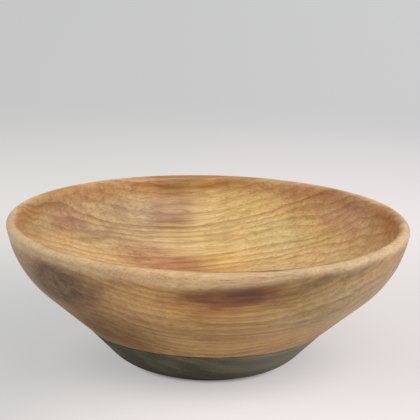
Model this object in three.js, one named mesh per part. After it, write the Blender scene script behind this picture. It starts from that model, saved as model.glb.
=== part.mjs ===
// A turned wooden bowl on a separate dark foot, with a disc of baize let into the foot's underside.
// Millimetres, +Z up. The origin is on the turning axis, on the plane that the foot stands on.
import * as THREE from "three";

// Bowl, outside
const rimRadius = 150;
const overallHeight = 109;
const shoulderRadius = 142.5;
const shoulderHeight = 76;
const shoulderRound = 75;
const baseRadius = 89;
const baseRound = 0.8;

// Bowl, inside
const lipWidth = 9;
const lipRound = 4;
const wallThickness = 9;
const innerShoulderRound = 55;
const floorHeight = 42;
const floorRadius = 80;
const floorRound = 90;
const floorDish = 1.2;

// Foot
const footHeight = 30;
const footRadius = 50;
const footEdgeRound = 3;
const footBellyRadius = 65.5;
const footBellyHeight = 6;
const footBellyRound = 40;
const footTopRound = 0.8;

// Glued joint between the foot and the bowl
const spigotRadius = 60;
const spigotHeight = 4;
const spigotRound = 0.6;
const fitGap = 0.3;

// Recess under the foot, and the baize in it
const recessRadius = 38;
const recessDepth = 3.5;
const recessUndercut = 1;
const baizeClearance = 1;
const baizeThickness = 1.5;

// How finely round shapes are cut: facets round the axis, and how far a facet may lie inside an arc
const turnSegments = 96;
const arcError = 0.05;

const place = ([r, z]) => new THREE.Vector2(r, z);

// The directions of the two sides that meet at a corner, and half of the angle between them
function sidesAt(corner, before, after) {
  const back = place(before).sub(place(corner)).normalize();
  const ahead = place(after).sub(place(corner)).normalize();
  return { back, ahead, halfAngle: Math.acos(back.dot(ahead)) / 2 };
}

// The point on the inner side of a corner that is a given distance from both of the sides that meet there
function insetPoint(corner, before, after, distance) {
  const { back, ahead, halfAngle } = sidesAt(corner, before, after);
  return place(corner).add(back.add(ahead).setLength(distance / Math.sin(halfAngle)));
}

// The points of an outline of corners, each [radius, height, round]. A corner with a round becomes an arc
// that touches both of the sides that meet there.
function roundedOutline(corners) {
  return corners.flatMap((corner, i) => {
    const round = corner[2] ?? 0;
    if (round === 0) return [place(corner)];
    const { back, ahead, halfAngle } = sidesAt(corner, corners[i - 1], corners[i + 1]);
    const centre = insetPoint(corner, corners[i - 1], corners[i + 1], round);
    const start = place(corner).addScaledVector(back, round / Math.tan(halfAngle)).sub(centre);
    const sweep = (2 * halfAngle - Math.PI) * Math.sign(back.cross(ahead));
    const steps = Math.ceil(Math.abs(sweep) / (2 * Math.acos(1 - arcError / round)));
    return Array.from({ length: steps + 1 }, (_, k) =>
      start.clone().rotateAround(new THREE.Vector2(), (sweep * k) / steps).add(centre),
    );
  });
}

// A solid turned about the Z axis from an outline that runs from the axis at the bottom, round the outside,
// to the axis at the top
function turned(name, corners, look) {
  const geometry = new THREE.LatheGeometry(roundedOutline(corners), turnSegments);
  geometry.rotateX(Math.PI / 2);
  const mesh = new THREE.Mesh(geometry, new THREE.MeshStandardMaterial({ metalness: 0, ...look }));
  mesh.name = name;
  return mesh;
}

// Bowl body: one piece from lip to base
const baseBottom = footHeight + fitGap;
const mortiseRadius = spigotRadius + fitGap;
const mortiseTop = footHeight + spigotHeight + fitGap;
const base = [baseRadius, baseBottom];
const shoulder = [shoulderRadius, shoulderHeight];
const rim = [rimRadius, overallHeight];
const innerShoulder = insetPoint(shoulder, base, rim, wallThickness);
const bowlBody = turned(
  "bowl_body",
  [
    [0, mortiseTop],
    [mortiseRadius, mortiseTop],
    [mortiseRadius, baseBottom],
    [...base, baseRound],
    [...shoulder, shoulderRound],
    [...rim, lipRound],
    [rimRadius - lipWidth, overallHeight, lipRound],
    [...innerShoulder, innerShoulderRound],
    [floorRadius, floorHeight, floorRound],
    [0, floorHeight - floorDish],
  ],
  { color: 0xb98a58, roughness: 0.5 },
);

// Foot: its side carries the curve of the bowl's flank on down to a narrow ring. It has a spigot on top and
// an undercut recess below.
const foot = turned(
  "foot",
  [
    [0, recessDepth],
    [recessRadius + recessUndercut, recessDepth],
    [recessRadius, 0],
    [footRadius, 0, footEdgeRound],
    [footBellyRadius, footBellyHeight, footBellyRound],
    [baseRadius, footHeight, footTopRound],
    [spigotRadius, footHeight],
    [spigotRadius, footHeight + spigotHeight, spigotRound],
    [0, footHeight + spigotHeight],
  ],
  { color: 0x2e2620, roughness: 0.45 },
);

// Baize disc: lies against the recess's ceiling, above the plane that the foot stands on
const baizeTop = recessDepth - fitGap;
const baizeRadius = recessRadius - baizeClearance;
const baizeDisc = turned(
  "baize_disc",
  [
    [0, baizeTop - baizeThickness],
    [baizeRadius, baizeTop - baizeThickness],
    [baizeRadius, baizeTop],
    [0, baizeTop],
  ],
  { color: 0x2f4a35, roughness: 0.95 },
);

const bowl = new THREE.Group();
bowl.add(bowlBody, foot, baizeDisc);
export default bowl;
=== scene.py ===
"""Looks of a turned wooden bowl on a dark foot: the turned pieces, woods, baize, floor, lamps and camera.

Metres, +Z up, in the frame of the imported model."""
import math

import bpy
import numpy as np
from mathutils import Matrix, Vector


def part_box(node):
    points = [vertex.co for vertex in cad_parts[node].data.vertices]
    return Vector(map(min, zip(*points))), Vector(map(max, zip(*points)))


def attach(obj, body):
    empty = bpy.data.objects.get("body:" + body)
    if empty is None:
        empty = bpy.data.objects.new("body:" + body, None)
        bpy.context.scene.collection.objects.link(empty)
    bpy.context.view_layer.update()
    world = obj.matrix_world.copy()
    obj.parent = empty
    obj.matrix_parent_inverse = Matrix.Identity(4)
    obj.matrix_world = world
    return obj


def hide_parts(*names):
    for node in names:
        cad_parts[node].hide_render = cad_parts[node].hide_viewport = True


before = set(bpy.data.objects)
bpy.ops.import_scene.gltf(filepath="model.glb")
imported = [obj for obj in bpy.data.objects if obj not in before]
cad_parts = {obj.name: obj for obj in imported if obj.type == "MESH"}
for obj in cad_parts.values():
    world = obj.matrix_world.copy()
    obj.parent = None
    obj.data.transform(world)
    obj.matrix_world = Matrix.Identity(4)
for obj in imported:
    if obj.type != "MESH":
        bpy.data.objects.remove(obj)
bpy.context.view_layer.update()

mm = 0.001
body_low, body_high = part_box("bowl_body")
foot_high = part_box("foot")[1]
baize_low, baize_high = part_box("baize_disc")

# Bowl, outside
rim_radius = 150 * mm
overall_height = body_high.z
shoulder_radius = 142.5 * mm
shoulder_height = 76 * mm
shoulder_round = 75 * mm
base_radius = 89 * mm
base_height = body_low.z
base_round = 0.8 * mm

# Bowl, inside
lip_width = 9 * mm
lip_round = 4 * mm
wall_thickness = 9 * mm
inner_shoulder_round = 55 * mm
floor_height = 42 * mm
floor_radius = 80 * mm
floor_round = 90 * mm
floor_dish = 1.2 * mm

# Foot, its spigot and the recess under it
fit_gap = 0.3 * mm
spigot_radius = 60 * mm
spigot_height = 4 * mm
spigot_round = 0.6 * mm
foot_height = foot_high.z - spigot_height
foot_radius = 50 * mm
foot_edge_round = 3 * mm
foot_belly_radius = 65.5 * mm
foot_belly_height = 6 * mm
foot_belly_round = 40 * mm
foot_top_round = 0.8 * mm
recess_radius = 38 * mm
recess_depth = baize_high.z + fit_gap
recess_undercut = 1 * mm

# Baize: a disc with soft edges, cut by hand, so that its radius strays in two sets of waves, so many round it
baize_radius = baize_high.x
baize_edge_round = 0.5 * mm
cut_waver = 0.25 * mm
cuts_round = (7, 11)

# Grain: the direction that the trunk lay in, as an angle from +X towards +Y
grain_turn = math.radians(9)

# Drying makes a turned bowl narrower across the grain than along it, and most at the rim. Sanding by hand
# leaves slow waves: how many go round, and how far one turns, in radians, from the table to the rim
oval_shrink = 1.1 * mm
rim_dip = 0.5 * mm
hand_waver = 0.12 * mm
wavers_round = 5
waver_slant = 40

# How finely the surfaces are laid out, and how near the top counts as level with it
outline_step = 1.5 * mm
least_arc_points = 5
wood_turns = 256
baize_turns = 128
crease_angle = math.radians(40)
level_gap = 0.01 * mm


# Outlines

def sides_at(corner, before, after):
    """The unit directions of the two sides that meet at a corner, and half of the angle between them."""
    back = np.subtract(before[:2], corner[:2])
    ahead = np.subtract(after[:2], corner[:2])
    back = back / np.hypot(*back)
    ahead = ahead / np.hypot(*ahead)
    return back, ahead, math.acos(back @ ahead) / 2


def inset_point(corner, before, after, distance):
    """The point inside a corner at a given distance from both sides: along the bisector, by the distance
    over the sine of half the angle."""
    back, ahead, half = sides_at(corner, before, after)
    inward = (back + ahead) / np.hypot(*(back + ahead))
    return corner[:2] + inward * distance / math.sin(half)


def corner_arc(corner, before, after):
    """Points of the arc at a corner (radius, height, round). It touches both sides, as far from the corner
    as the round over the tangent of half the angle, and its centre lies one round from both."""
    back, ahead, half = sides_at(corner, before, after)
    centre = inset_point(corner, before, after, corner[2])
    start = corner[:2] + back * corner[2] / math.tan(half) - centre
    sweep = (2 * half - math.pi) * np.sign(back[0] * ahead[1] - back[1] * ahead[0])
    count = max(least_arc_points, math.ceil(abs(sweep) * corner[2] / outline_step))
    turn = np.linspace(0, sweep, count)
    cos, sin = np.cos(turn), np.sin(turn)
    return centre + np.stack([start[0] * cos - start[1] * sin, start[0] * sin + start[1] * cos], 1)


def side_lengths(line):
    """The distance from each point of a line to the next."""
    return np.hypot(*np.diff(line, axis=0).T)


def outline_points(corners):
    """Points at most a step apart along an outline of corners (radius, height, round): straight sides, with
    an arc at each corner that has a round."""
    stretches = []
    for i, corner in enumerate(corners):
        if len(corner) == 2:
            stretches.append(np.array([corner]))
        else:
            stretches.append(corner_arc(corner, corners[i - 1], corners[i + 1]))
    line = np.concatenate(stretches)
    counts = np.maximum(1, np.ceil(side_lengths(line) / outline_step).astype(int))
    share = np.concatenate([np.arange(n) / n for n in counts])
    index = np.repeat(np.arange(len(counts)), counts)
    return np.vstack([line[index] + (line[index + 1] - line[index]) * share[:, None], line[-1:]])


def bowl_outline():
    """The bowl's corners: the mortise under it, the base, the flank and shoulder, the lip, and the inside
    down to the floor. The inner shoulder is one wall's thickness in from both sides of the outer one."""
    mortise_radius = spigot_radius + fit_gap
    mortise_top = base_height + spigot_height
    base = (base_radius, base_height)
    shoulder = (shoulder_radius, shoulder_height)
    rim = (rim_radius, overall_height)
    inner_shoulder = inset_point(shoulder, base, rim, wall_thickness)
    return [
        (0, mortise_top),
        (mortise_radius, mortise_top),
        (mortise_radius, base_height),
        (*base, base_round),
        (*shoulder, shoulder_round),
        (*rim, lip_round),
        (rim_radius - lip_width, overall_height, lip_round),
        (*inner_shoulder, inner_shoulder_round),
        (floor_radius, floor_height, floor_round),
        (0, floor_height - floor_dish),
    ]


def lip_middle(line):
    """The distance along the bowl's outline to the middle of the lip, which is flat between its rounds."""
    flat_start = int(np.argmax(line[:, 1] > overall_height - level_gap))
    flat_width = lip_width - 2 * lip_round
    return side_lengths(line[:flat_start + 1]).sum() + flat_width / 2


def foot_outline():
    """The foot's corners: the recess under it, the flat ring that it stands on, its rounded side, and the
    spigot."""
    return [
        (0, recess_depth),
        (recess_radius + recess_undercut, recess_depth),
        (recess_radius, 0),
        (foot_radius, 0, foot_edge_round),
        (foot_belly_radius, foot_belly_height, foot_belly_round),
        (base_radius, foot_height, foot_top_round),
        (spigot_radius, foot_height),
        (spigot_radius, foot_height + spigot_height, spigot_round),
        (0, foot_height + spigot_height),
    ]


def baize_outline():
    """The disc's corners: its underside, its soft edges, and its top."""
    return [
        (0, baize_low.z),
        (baize_radius, baize_low.z, baize_edge_round),
        (baize_radius, baize_high.z, baize_edge_round),
        (0, baize_high.z),
    ]


# Surfaces

def turned_piece(name, outline, turns, change=None):
    """A closed surface turned about Z: each outline point (radius, height) goes round in even steps, and
    the first and last points, on the axis, are the poles. change(angle, radius, height) returns the worn or
    warped radius and height. The attribute called along holds the distance from the first point, measured
    on the outline."""
    angle = np.arange(turns)[:, None] * 2 * math.pi / turns
    radius = outline[1:-1, 0] + 0 * angle
    height = outline[1:-1, 1] + 0 * angle
    if change:
        radius, height = change(angle, radius, height)
    rings = np.stack([radius * np.cos(angle), radius * np.sin(angle), height], 2)
    poles = np.array([[0, 0, outline[0, 1]], [0, 0, outline[-1, 1]]])
    points = np.concatenate([rings.reshape(-1, 3), poles])
    here = np.arange(radius.size).reshape(radius.shape)
    there = np.roll(here, -1, axis=0)
    quads = np.stack([here[:, :-1], there[:, :-1], there[:, 1:], here[:, 1:]], 2).reshape(-1, 4)
    first_pole, last_pole = radius.size, radius.size + 1
    first_fan = np.stack([np.full(turns, first_pole), there[:, 0], here[:, 0]], 1)
    last_fan = np.stack([here[:, -1], there[:, -1], np.full(turns, last_pole)], 1)
    mesh = bpy.data.meshes.new(name)
    mesh.from_pydata(points, [], quads.tolist() + first_fan.tolist() + last_fan.tolist())
    walked = np.concatenate([[0], np.cumsum(side_lengths(outline))])
    along = np.concatenate([np.tile(walked[1:-1], turns), walked[[0, -1]]])
    mesh.attributes.new("along", "FLOAT", "POINT").data.foreach_set("value", along.astype(np.float32))
    mesh.shade_smooth()
    mesh.set_sharp_from_angle(angle=crease_angle)
    piece = bpy.data.objects.new(name, mesh)
    bpy.context.scene.collection.objects.link(piece)
    return piece


def seasoned(angle, radius, height):
    """The radius less a share that grows with height, as 1 - cos(2 (angle - grain)), and the rim a little
    lower across the grain, with a few slow waves round the wall where sandpaper was held by hand."""
    rise = np.clip((height - base_height) / (overall_height - base_height), 0, 1)
    across = (1 - np.cos(2 * (angle - grain_turn))) / 2
    waver = (1 + np.sin(wavers_round * angle + waver_slant * height / overall_height)) / 2
    shrunk = radius - rise * (oval_shrink * across + hand_waver * waver)
    return shrunk, height - rise ** 3 * rim_dip * across


def hand_cut(angle, radius, height):
    """The radius less two sets of slow waves round the disc, which grow towards its edge, where scissors
    strayed from the round."""
    few, many = cuts_round
    stray = (2 + np.sin(few * angle) + np.sin(many * angle + 1)) / 4
    return radius - cut_waver * stray * radius / baize_radius, height


# Materials

def srgb(red, green, blue):
    """A colour given as it shows on a screen, 0 to 255, as the linear colour with full alpha that a socket
    takes."""
    shares = np.array([red, green, blue]) / 255
    linear = np.where(shares <= 0.04045, shares / 12.92, ((shares + 0.055) / 1.055) ** 2.4)
    return (*linear, 1)


# Noise: how many finer layers lie over it, and how strong each one is beside the last
slow = (2.0, 0.5)
cloudy = (3.0, 0.55)
fine = (3.0, 0.6)


class Socket:
    """An output of a material's node. Python's operators on one that holds a number add Math nodes."""

    def __init__(self, finish, socket):
        self.finish, self.socket = finish, socket

    def __add__(self, other):
        return self.finish.maths("ADD", self, other)

    def __sub__(self, other):
        return self.finish.maths("SUBTRACT", self, other)

    def __rsub__(self, other):
        return self.finish.maths("SUBTRACT", other, self)

    def __mul__(self, other):
        return self.finish.maths("MULTIPLY", self, other)

    def __truediv__(self, other):
        return self.finish.maths("DIVIDE", self, other)

    def __rtruediv__(self, other):
        return self.finish.maths("DIVIDE", other, self)

    __radd__, __rmul__ = __add__, __mul__


class Finish:
    """A material and the nodes that make its look."""

    def __init__(self, name):
        self.material = bpy.data.materials.new(name)
        self.material.use_nodes = True
        self.tree = self.material.node_tree
        self.tree.nodes.clear()

    def node(self, kind, settings, sockets, output=0):
        """Adds a node: its settings first, then its sockets' values or links. Returns the output asked for,
        or the node itself if it has none."""
        made = self.tree.nodes.new(kind)
        for key, value in settings.items():
            setattr(made, key, value)
        for key, value in sockets.items():
            if isinstance(value, Socket):
                self.tree.links.new(value.socket, made.inputs[key])
            else:
                made.inputs[key].default_value = value
        return Socket(self, made.outputs[output]) if made.outputs else made

    def maths(self, operation, first, second=0.0):
        return self.node("ShaderNodeMath", {"operation": operation}, {0: first, 1: second})

    def vector(self, operation, *vectors):
        return self.node("ShaderNodeVectorMath", {"operation": operation}, dict(enumerate(vectors)))

    def measure(self, operation, *vectors):
        """A number worked out from vectors, such as a length."""
        how = {"operation": operation}
        return self.node("ShaderNodeVectorMath", how, dict(enumerate(vectors)), "Value")

    def coordinates(self, output="Object"):
        return self.node("ShaderNodeTexCoord", {}, {}, output)

    def part(self, vector, axis):
        return self.node("ShaderNodeSeparateXYZ", {}, {"Vector": vector}, axis)

    def mapped(self, vector, rotation=(0, 0, 0), scale=(1, 1, 1), shift=(0, 0, 0)):
        """The vector scaled, then turned, then shifted."""
        sockets = {"Vector": vector, "Rotation": rotation, "Scale": scale, "Location": shift}
        return self.node("ShaderNodeMapping", {}, sockets)

    def noise(self, vector, scale, layers, output=0):
        sockets = {"Vector": vector, "Scale": scale, "Detail": layers[0], "Roughness": layers[1]}
        return self.node("ShaderNodeTexNoise", {}, sockets, output)

    def ramp(self, value, low, high, to_low=0.0, to_high=1.0):
        """The value carried smoothly from the range low..high to to_low..to_high, held at both ends."""
        how = {"interpolation_type": "SMOOTHSTEP"}
        return self.node("ShaderNodeMapRange", how, {0: value, 1: low, 2: high, 3: to_low, 4: to_high})

    def mix(self, share, first, second, blend="MIX"):
        how = {"data_type": "RGBA", "blend_type": blend}
        return self.node("ShaderNodeMix", how, {0: share, 6: first, 7: second}, 2)

    def figure(self, log, waves, layers, shift=(0, 0, 0), output=0):
        """Noise drawn out along the grain, with so many waves to the metre along it and across it."""
        return self.noise(self.mapped(log, scale=waves, shift=shift), 1.0, layers, output)

    def swayed(self, log, sways):
        """The trunk's coordinates moved across the grain by slow noise, once for each sway."""
        for waves, reach in sways:
            sway = self.figure(log, waves, slow, output=1)
            log = self.vector("MULTIPLY_ADD", sway, (0, reach, reach), log)
        return log

    def from_pith(self, log, beside, below):
        """The distance from the pith, a line along the grain that passes beside and below the foot."""
        return self.measure("LENGTH", self.mapped(log, scale=(0, 1, 1), shift=(0, beside, below)))

    def end(self, shader):
        self.node("ShaderNodeOutputMaterial", {}, {"Surface": shader})
        return self.material

    def close(self, base, roughness, bump, **fixed):
        """Ends the material: bump holds pairs of height and depth in metres, laid over each other, and
        fixed sets sockets."""
        normal = {}
        for height, depth in bump:
            relief = {"Height": height, "Distance": depth, "Strength": 1.0, **normal}
            normal = {"Normal": self.node("ShaderNodeBump", {}, relief)}
        sockets = {"Base Color": base, "Roughness": roughness, **normal}
        sockets.update({name.replace("_", " "): value for name, value in fixed.items()})
        return self.end(self.node("ShaderNodeBsdfPrincipled", {}, sockets))


# The bowl's wood. Colours are as the wood shows in plain light, except the outside's tint, which is painted
# shade
pale_wood = srgb(232, 199, 140)
late_wood = srgb(184, 134, 78)
rose_streak = srgb(200, 146, 106)
olive_streak = srgb(184, 158, 92)
thread_tint = srgb(206, 176, 140)
end_tint = srgb(234, 216, 196)
# Painted shade: the outside wall below the lip's pale band is multiplied by this tint, which stands in for
# the weaker light that reaches the outside
outside_painted_shade = srgb(227, 220, 204)
pale_band = srgb(232, 204, 160)
brown_band = srgb(234, 214, 196)
fibre_tint = srgb(150, 104, 62)
ripple_tint = srgb(190, 150, 110)
pore_tint = srgb(96, 62, 34)
ring_width = 6.0 * mm
drift_years = 4
pith_below = 66 * mm
grain_dip = math.radians(3)

# Waves to the metre along the grain and across it, and for a sway how far it moves the grain
bowl_sways = [((3, 8, 8), 30 * mm), ((11, 28, 28), 8 * mm), ((42, 110, 110), 1.2 * mm)]
drift_waves = (0, 22, 22)
fibre_waves = (18, 900, 900)
thread_waves = (9, 240, 240)
streak_waves = (4, 70, 70)
cloud_waves = (9, 20, 20)
ripple_waves = (95, 16, 16)
pore_waves = (140, 1150, 1150)
ragged_waves = (14, 50, 50)
cloud_shift = (3.1, 0, 0)

# Turning marks to the metre, measured on the outline
mark_waves = 900
mark_layers = (2.0, 0.6)

# Depths of the grain and the marks, and the roughness of oiled wood between its fibres and on them
mark_depth = 0.05 * mm
fibre_depth = 0.04 * mm
pore_depth = 0.08 * mm
oiled_roughness = (0.40, 0.52)

# Bands at the lip, each by where it comes or goes, as the distance inwards from the middle of the lip. The
# pale band is narrower on the right
pale_comes = (-16 * mm, -9 * mm)
brown_comes = (-1 * mm, 3 * mm)
brown_goes = (11 * mm, 18 * mm)
band_drift = 12 * mm
narrow_from = 0
narrow_to = 80 * mm
band_narrowing = 5 * mm

# Places where the wood is stained or paler, and a few that carry painted shade and painted light, as their
# names say: centre and reach in millimetres, the tint that the wood is multiplied by, where more than 255
# lightens it, and how fully it takes, where more than 1 fills in what the grain breaks up
stains = [
    ("yellow wood in the middle of the back wall", (32, 117, 72), (56, 46, 34), srgb(264, 272, 246), 0.9),
    ("grey-brown wood on the left back wall", (-78, 104, 80), (60, 42, 26), srgb(214, 216, 230), 0.9),
    ("brown stripe left of the middle", (-31, 129, 86), (20, 28, 20), srgb(203, 171, 114), 0.9),
    ("red-brown wood at the back rim", (-48, 136, 101), (20, 14, 9), srgb(250, 238, 226), 0.9),
    ("light wood along the back lip", (8, 147, 108), (78, 12, 8), srgb(268, 263, 260), 0.9),
    ("paler wood at the back rim", (63, 126, 101), (24, 18, 8), srgb(255, 258, 284), 0.9),
    ("duller wood on the right back wall", (58, 104, 70), (24, 26, 14), srgb(241, 250, 260), 0.9),
    ("duller wood in front of it", (36, 79, 49), (22, 12, 12), srgb(246, 242, 240), 0.9),
    ("red spot at the left", (-112, 76, 90), (24, 18, 9), srgb(232, 208, 204), 0.9),
    ("rose patch across the floor", (-36, 82, 51), (44, 15, 15), srgb(216, 176, 166), 1.0),
    ("orange wood beside it", (12, 84, 48), (26, 18, 14), srgb(273, 266, 236), 0.9),
    # Painted shade: the next stain darkens the right inner wall near the rim, which faces away from the key
    # lamp
    ("painted shade on the right inner wall", (98, 92, 97), (58, 42, 15), srgb(238, 226, 218), 0.9),
    # Partly painted shade: the next stain darkens the right end inside the rim, both for its end grain and
    # for the shade on that wall
    ("darkest wood and painted shade at the right end", (138, 22, 99), (16, 24, 10), srgb(252, 226, 206), 0.9),
    ("olive wood at the right", (88, 86, 76), (34, 14, 7), srgb(242, 244, 220), 0.9),
    ("mustard wood high in the middle", (-2, 141, 104), (26, 9, 8), srgb(238, 230, 192), 0.9),
    ("dark streak under the front rim", (16, -145, 91), (40, 20, 10), srgb(180, 150, 32), 1.2),
    ("darkest part of the streak", (24, -145, 92), (26, 16, 9), srgb(206, 172, 74), 1.2),
    ("warmer wood round the streak", (6, -142, 88), (60, 26, 24), srgb(258, 249, 214), 0.9),
    ("olive end of the streak", (58, -133, 95), (40, 18, 12), srgb(204, 198, 164), 0.9),
    ("orange wood below the streak", (0, -142, 83), (34, 14, 8), srgb(242, 214, 170), 0.9),
    ("red-brown band low on the left front", (-68, -98, 50), (38, 40, 24), srgb(180, 162, 134), 1.0),
    ("lighter flank above it", (-50, -129, 77), (28, 26, 18), srgb(270, 268, 260), 0.9),
    # Partly painted shade: the next stain darkens the left flank, both for its dark wood and for the shade
    # that falls on that side
    ("black-brown wood and painted shade on the left flank", (-106, -98, 82), (34, 46, 18), srgb(132, 121, 72), 1.0),
    ("grey-brown flank at the right", (84, -112, 74), (50, 40, 24), srgb(213, 227, 230), 0.9),
    # Painted reflection: the next stain lightens and greys the right end of the flank, where the pale floor
    # is mirrored at a grazing angle
    ("painted reflection at the right end of the flank", (107, -78, 70), (36, 38, 38), srgb(262, 274, 300), 0.9),
    ("brown wood on the middle of the flank", (0, -126, 62), (44, 30, 14), srgb(220, 215, 172), 0.9),
    ("brown wood at the left end", (-126, 48, 94), (20, 40, 14), srgb(226, 240, 248), 0.9),
    ("warm wood on the left of the front rim", (-48, -137, 107), (40, 20, 9), srgb(246, 214, 176), 0.9),
    ("tan wood on the middle of the front rim", (35, -142, 107), (32, 16, 9), srgb(206, 182, 152), 0.9),
    ("tan wood on the right of the front rim", (88, -114, 106), (60, 40, 11), srgb(178, 180, 182), 0.9),
]
stain_core = 0.45
stain_limit = 1.45
ragged_reach = (26, 14, 14)


def stained(finish, colour, spot, log, broken):
    """The colour multiplied by each stain's tint, fading out with the distance from its centre, counted in
    reaches. Noise makes the edges ragged, and broken is the share that the grain lets take."""
    sway = finish.figure(log, ragged_waves, fine, output=1)
    ragged = finish.vector("MULTIPLY_ADD", sway, tuple(spread * mm for spread in ragged_reach), spot)
    for _, centre, reach, tint, amount in stains:
        middle = tuple((place + spread / 2) * mm for place, spread in zip(centre, ragged_reach))
        from_middle = finish.vector("SUBTRACT", ragged, middle)
        in_reaches = finish.vector("DIVIDE", from_middle, tuple(radius * mm for radius in reach))
        share = finish.ramp(finish.measure("LENGTH", in_reaches), stain_limit, stain_core) * broken * amount
        colour = finish.mix(share, colour, tint, "MULTIPLY")
    return colour


def lip_bands(finish, spot, past_lip):
    """How far the wood is outside the lip's pale band, in it, and in the brown band inside it."""
    right = finish.ramp(finish.part(spot, "X"), narrow_from, narrow_to)
    pale = finish.ramp(past_lip - right * band_narrowing, *pale_comes)
    brown = finish.ramp(past_lip, *brown_comes)
    return 1 - pale, pale * (1 - brown), brown * (1 - finish.ramp(past_lip, *brown_goes))


def figured_wood(lip_along):
    """Wood with wavering growth rings about a pith under the bowl, each year with its own tone, fibres,
    fine pores and streaks drawn out along the grain, stains, a few of which are painted shade and painted
    light, end grain that darkens where the wall faces along it, and turning marks. A band over and outside
    the lip is rubbed pale, one inside it is browner, and the outside below the pale band is darkened as
    painted shade."""
    finish = Finish("figured wood, oiled")
    spot = finish.coordinates()
    log = finish.swayed(finish.mapped(spot, rotation=(0, grain_dip, -grain_turn)), bowl_sways)
    fibre = finish.figure(log, fibre_waves, fine)
    thread = finish.figure(log, thread_waves, fine)
    streak = finish.figure(log, streak_waves, cloudy)
    cloud = finish.figure(log, cloud_waves, cloudy, shift=cloud_shift)
    ripple = finish.figure(log, ripple_waves, slow)

    drift = finish.figure(log, drift_waves, slow) * drift_years
    years = finish.from_pith(log, 0, pith_below) / ring_width + drift
    ring = finish.maths("FRACT", years)
    year = {"W": finish.maths("FLOOR", years)}
    year_tone = finish.node("ShaderNodeTexWhiteNoise", {"noise_dimensions": "1D"}, year)
    late = finish.ramp(ring, 0.2, 0.95) * finish.ramp(ring, 1.0, 0.95)
    colour = finish.mix(late * (year_tone * 0.55 + 0.25), pale_wood, late_wood)
    colour = finish.mix(finish.ramp(streak, 0.52, 0.72) * 0.5, colour, rose_streak)
    colour = finish.mix(finish.ramp(cloud, 0.5, 0.72) * 0.5, colour, olive_streak)
    colour = finish.mix(finish.ramp(thread, 0.45, 0.75) * 0.5, colour, thread_tint, "MULTIPLY")
    colour = stained(finish, colour, spot, log, finish.ramp(thread + streak, 0.8, 1.2, 0.65, 1.0))

    along_grain = (math.cos(grain_turn), math.sin(grain_turn), 0)
    slant = finish.measure("DOT_PRODUCT", finish.coordinates("Normal"), along_grain)
    end_grain = finish.ramp(finish.maths("ABSOLUTE", slant), 0.35, 0.95)
    colour = finish.mix(end_grain * 0.75, colour, end_tint, "MULTIPLY")

    along = finish.node("ShaderNodeAttribute", {"attribute_name": "along"}, {}, "Fac")
    past_lip = along + (cloud - 0.5) * band_drift - lip_along
    outside, rubbed, browned = lip_bands(finish, spot, past_lip)
    # Painted shade: the outside below the pale band is darkened
    colour = finish.mix(outside, colour, outside_painted_shade, "MULTIPLY")
    colour = finish.mix(rubbed * 0.6, colour, pale_band)
    colour = finish.mix(browned * 0.8, colour, brown_band, "MULTIPLY")

    cells = {"Vector": finish.mapped(log, scale=pore_waves), "Scale": 1.0, "Randomness": 1.0}
    from_pore = finish.node("ShaderNodeTexVoronoi", {}, cells)
    pores = finish.ramp(from_pore, 0.30, 0.14) * finish.ramp(ring, 0.6, 0.1)
    colour = finish.mix(finish.ramp(fibre, 0.40, 0.70) * 0.33, colour, fibre_tint, "MULTIPLY")
    colour = finish.mix(finish.ramp(ripple, 0.35, 0.7) * 0.16, colour, ripple_tint, "MULTIPLY")
    colour = finish.mix(pores * 0.55, colour, pore_tint, "MULTIPLY")

    marks = finish.noise(finish.node("ShaderNodeCombineXYZ", {}, {"X": along}), mark_waves, mark_layers)
    roughness = finish.ramp(fibre, 0.3, 0.7, *oiled_roughness) + pores * 0.2 + rubbed * 0.08
    bump = ((marks, mark_depth), (fibre, fibre_depth), (1 - pores, pore_depth))
    return finish.close(colour, roughness, bump, Coat_Weight=0.2, Coat_Roughness=0.3)


# The foot's wood
dark_ground = srgb(73, 76, 61)
dark_streak = srgb(118, 122, 98)
dark_ring = srgb(58, 52, 40)
dark_fibre = srgb(150, 130, 98)
# Painted light: the foot is mixed towards this paler colour on its right, the side that the key lamp lights
foot_painted_light = srgb(147, 152, 133)
dark_rubbed = srgb(138, 128, 104)
dark_grain_turn = math.radians(-27)
dark_pith = (40 * mm, 90 * mm)
dark_ring_width = 2.3 * mm
dark_sways = [((6, 20, 20), 9 * mm)]
dark_fibre_waves = (25, 1000, 1000)
dark_fibre_depth = 0.05 * mm
dark_streak_waves = (6, 90, 90)
foot_painted_light_from = (5 * mm, 75 * mm)
rubbed_below = (3.6 * mm, 1.2 * mm)
rubbed_raggedness = 3 * mm
waxed_roughness = (0.36, 0.5)


def dark_wood():
    """Close dark hardwood, waxed: narrow rings about a pith below and beside the foot, streaks and fine
    fibres, painted light that makes it paler on the right, and rubbed lighter where it stands."""
    finish = Finish("dark wood, waxed")
    spot = finish.coordinates()
    log = finish.swayed(finish.mapped(spot, rotation=(0, 0, dark_grain_turn)), dark_sways)
    ring = finish.maths("FRACT", finish.from_pith(log, *dark_pith) / dark_ring_width)
    fibre = finish.figure(log, dark_fibre_waves, fine)
    streak = finish.figure(log, dark_streak_waves, cloudy)
    colour = finish.mix(finish.ramp(streak, 0.35, 0.65), dark_ground, dark_streak)
    colour = finish.mix(finish.ramp(ring, 0.3, 0.95) * 0.6, colour, dark_ring)
    colour = finish.mix(finish.ramp(fibre, 0.5, 0.72) * 0.6, colour, dark_fibre)
    # Painted light: paler towards the right side
    right = finish.ramp(finish.part(spot, "X"), *foot_painted_light_from)
    colour = finish.mix(right * 0.5, colour, foot_painted_light)
    rubbed = finish.ramp(finish.part(spot, "Z") + streak * rubbed_raggedness, *rubbed_below)
    colour = finish.mix(rubbed * 0.35, colour, dark_rubbed)
    roughness = finish.ramp(fibre, 0.3, 0.7, *waxed_roughness)
    bump = ((fibre, dark_fibre_depth),)
    return finish.close(colour, roughness, bump, Coat_Weight=0.15, Coat_Roughness=0.3)


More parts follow.
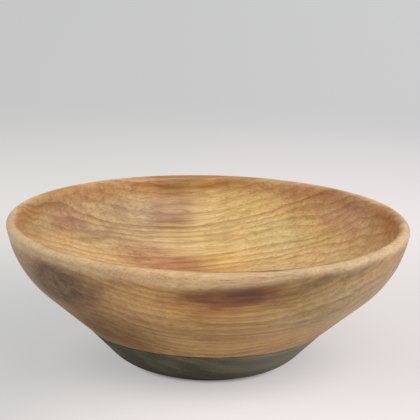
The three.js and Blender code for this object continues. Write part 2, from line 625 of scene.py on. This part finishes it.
# The baize
baize_ground = srgb(38, 66, 44)
baize_fluff = srgb(62, 98, 66)
baize_hair = srgb(92, 128, 92)
baize_patch = srgb(44, 70, 46)
fluff_waves = 900
fluff_layers = (4.0, 0.7)
fluff_depth = 0.25 * mm
hair_turn = 0.7
hair_waves = (260, 2600, 900)
hair_depth = 0.12 * mm
patch_waves = 60
patch_layers = (3.0, 0.5)
baize_roughness = 0.95


def green_baize():
    """Pressed wool: fluff, hairs that lie mostly one way, and darker patches, with a soft nap."""
    finish = Finish("green baize")
    spot = finish.coordinates()
    fluff = finish.noise(spot, fluff_waves, fluff_layers)
    hairs = finish.noise(finish.mapped(spot, rotation=(0, 0, hair_turn), scale=hair_waves), 1.0, fine)
    patchy = finish.noise(spot, patch_waves, patch_layers)
    colour = finish.mix(finish.ramp(fluff, 0.3, 0.7), baize_ground, baize_fluff)
    colour = finish.mix(finish.ramp(hairs, 0.55, 0.75) * 0.5, colour, baize_hair)
    colour = finish.mix(finish.ramp(patchy, 0.4, 0.7) * 0.3, colour, baize_patch)
    bump = ((fluff, fluff_depth), (hairs, hair_depth))
    return finish.close(colour, baize_roughness, bump, Sheen_Weight=0.4)


# The pieces

bowl_line = outline_points(bowl_outline())
bowl_wood = turned_piece("bowl_wood", bowl_line, wood_turns, seasoned)
bowl_wood.data.materials.append(figured_wood(lip_middle(bowl_line)))
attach(bowl_wood, "root")
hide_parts("bowl_body")

foot_wood = turned_piece("foot_wood", outline_points(foot_outline()), wood_turns)
foot_wood.data.materials.append(dark_wood())
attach(foot_wood, "root")
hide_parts("foot")

baize = turned_piece("baize", outline_points(baize_outline()), baize_turns, hand_cut)
baize.data.materials.append(green_baize())
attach(baize, "root")
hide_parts("baize_disc")


# Floor: pale paper that runs on behind the bowl as the background. Distances are in metres
floor_reach = 6.0
# Painted shadow: the front tones are darker than the back ones, most on the left, as the bowl's shadow. The
# patch is a painted pool of light before the foot, and the far grey is darker on the left as painted shade
left_front_painted_shadow = srgb(207, 207, 206)
left_back = srgb(232, 229, 225)
right_front_painted_shadow = srgb(229, 223, 222)
right_back = srgb(241, 235, 234)
painted_light_patch = srgb(246, 239, 237)
patch_middle = (0.06, -0.26, 0)
far_left = srgb(197, 197, 197)
far_right = srgb(206, 206, 207)
left_to_right = (-0.14, 0.16)
front_to_back = (0.12, 0.45)
patch_fades = (0.3, 0.08)
far_left_to_right = (-0.6, 0.6)
near_to_far = (0.38, 1.03)
mirrored_from = (0.3, 0.9)

# How much of the floor's tone the camera sees as it is written: the least, and how far it rises between one
# distance from the foot's middle and another
plain_least = 0.25
plain_rises = [(0.05, 0.058, 0.37), (0.055, 0.12, 0.18), (0.4, 1.15, 0.2)]


def studio_floor():
    """Flat paper, warm white round the bowl, with a painted shadow that darkens it beside the bowl, most on
    the left, a painted pool of light in a patch before the foot, and a grey far off, darker on the left as
    painted shade. The camera sees part of the tone as it is written, more of it further from the foot,
    which softens the bowl's shadow. What mirrors the floor sees the far part of it as written."""
    finish = Finish("studio floor")
    spot = finish.coordinates()
    away = finish.measure("LENGTH", spot)
    across = finish.part(spot, "X")
    back = finish.ramp(finish.part(spot, "Y"), *front_to_back)
    left = finish.mix(back, left_front_painted_shadow, left_back)
    right = finish.mix(back, right_front_painted_shadow, right_back)
    near = finish.mix(finish.ramp(across, *left_to_right), left, right)
    # Painted light: a pool of light painted before the foot
    in_patch = finish.ramp(finish.measure("DISTANCE", spot, patch_middle), *patch_fades)
    near = finish.mix(in_patch, near, painted_light_patch)
    far = finish.mix(finish.ramp(across, *far_left_to_right), far_left, far_right)
    tone = finish.mix(finish.ramp(away, *near_to_far), near, far)
    lit = finish.node("ShaderNodeBsdfDiffuse", {}, {"Color": near})
    plain = finish.node("ShaderNodeEmission", {}, {"Color": tone, "Strength": 1.0})
    seen = finish.node("ShaderNodeLightPath", {}, {}, "Is Camera Ray")
    mirrored = finish.node("ShaderNodeLightPath", {}, {}, "Is Glossy Ray")
    share = plain_least
    for start, end, rise in plain_rises:
        share = share + finish.ramp(away, start, end, 0, rise)
    share = share * seen + finish.ramp(away, *mirrored_from) * mirrored
    return finish.end(finish.node("ShaderNodeMixShader", {}, {0: share, 1: lit, 2: plain}))


floor_corners = [(x * floor_reach, y * floor_reach, 0) for x, y in ((-1, -1), (1, -1), (1, 1), (-1, 1))]
floor_mesh = bpy.data.meshes.new("floor")
floor_mesh.from_pydata(floor_corners, [], [(0, 1, 2, 3)])
floor_mesh.materials.append(studio_floor())
floor = bpy.data.objects.new("floor", floor_mesh)
bpy.context.scene.collection.objects.link(floor)


# Lamps: a large soft key from the upper right, a broad panel overhead, a small panel at each side, and weak
# light from all round
bowl_middle = (0, 0, overall_height / 2)
warm_white = srgb(255, 250, 243)
cool_white = srgb(252, 253, 255)
room_white = srgb(240, 241, 243)
room_strength = 0.38


def soft_lamp(name, place, size, watts, tone):
    """A square area lamp that stands at a place and faces the bowl."""
    lamp = bpy.data.lights.new(name, "AREA")
    lamp.shape = "SQUARE"
    lamp.size = size
    lamp.energy = watts
    lamp.color = tone[:3]
    holder = bpy.data.objects.new(name, lamp)
    holder.location = place
    holder.rotation_mode = "QUATERNION"
    holder.rotation_quaternion = (Vector(bowl_middle) - Vector(place)).to_track_quat("-Z", "Y")
    bpy.context.scene.collection.objects.link(holder)


soft_lamp("key", place=(0.6, -0.95, 1.35), size=1.0, watts=14.8, tone=warm_white)
soft_lamp("overhead", place=(0, -0.25, 1.9), size=2.2, watts=12, tone=cool_white)
for side in (-1, 1):
    soft_lamp("side", place=(side * 1.3, 0.35, 0.45), size=0.9, watts=4, tone=cool_white)

world = bpy.data.worlds.new("room")
world.use_nodes = True
world.node_tree.nodes["Background"].inputs["Color"].default_value = room_white
world.node_tree.nodes["Background"].inputs["Strength"].default_value = room_strength
bpy.context.scene.world = world


# Camera: where the photograph was taken from. The bowl's middle lies at this pixel of its 420 by 420 frame
frame_pixels = 420
middle_pixel = (206.8, 289.3)
pixels_per_metre = 1339
camera_distance = 1.5
camera_elevation = math.radians(16.3)
camera_roll = math.radians(1.28)

camera = bpy.data.cameras.new("camera")
camera.sensor_width = 36.0
camera.lens = camera.sensor_width * camera_distance * pixels_per_metre / frame_pixels
camera.clip_end = 50.0
camera_holder = bpy.data.objects.new("camera", camera)

# The camera looks straight at the bowl's middle, is rolled, and is turned until the middle is at its pixel
backwards = Vector((0, -math.cos(camera_elevation), math.sin(camera_elevation)))
straight = backwards.to_track_quat("Z", "Y").to_matrix().to_4x4()
focal_pixels = camera_distance * pixels_per_metre
swing, lift = [math.atan((pixel - frame_pixels / 2) / focal_pixels) for pixel in middle_pixel]
facing = straight @ Matrix.Rotation(camera_roll, 4, "Z")
facing = facing @ Matrix.Rotation(lift, 4, "X") @ Matrix.Rotation(swing, 4, "Y")
camera_holder.matrix_world = Matrix.Translation(Vector(bowl_middle) + backwards * camera_distance) @ facing
bpy.context.scene.collection.objects.link(camera_holder)
bpy.context.scene.camera = camera_holder
bpy.context.scene.view_settings.view_transform = "Standard"
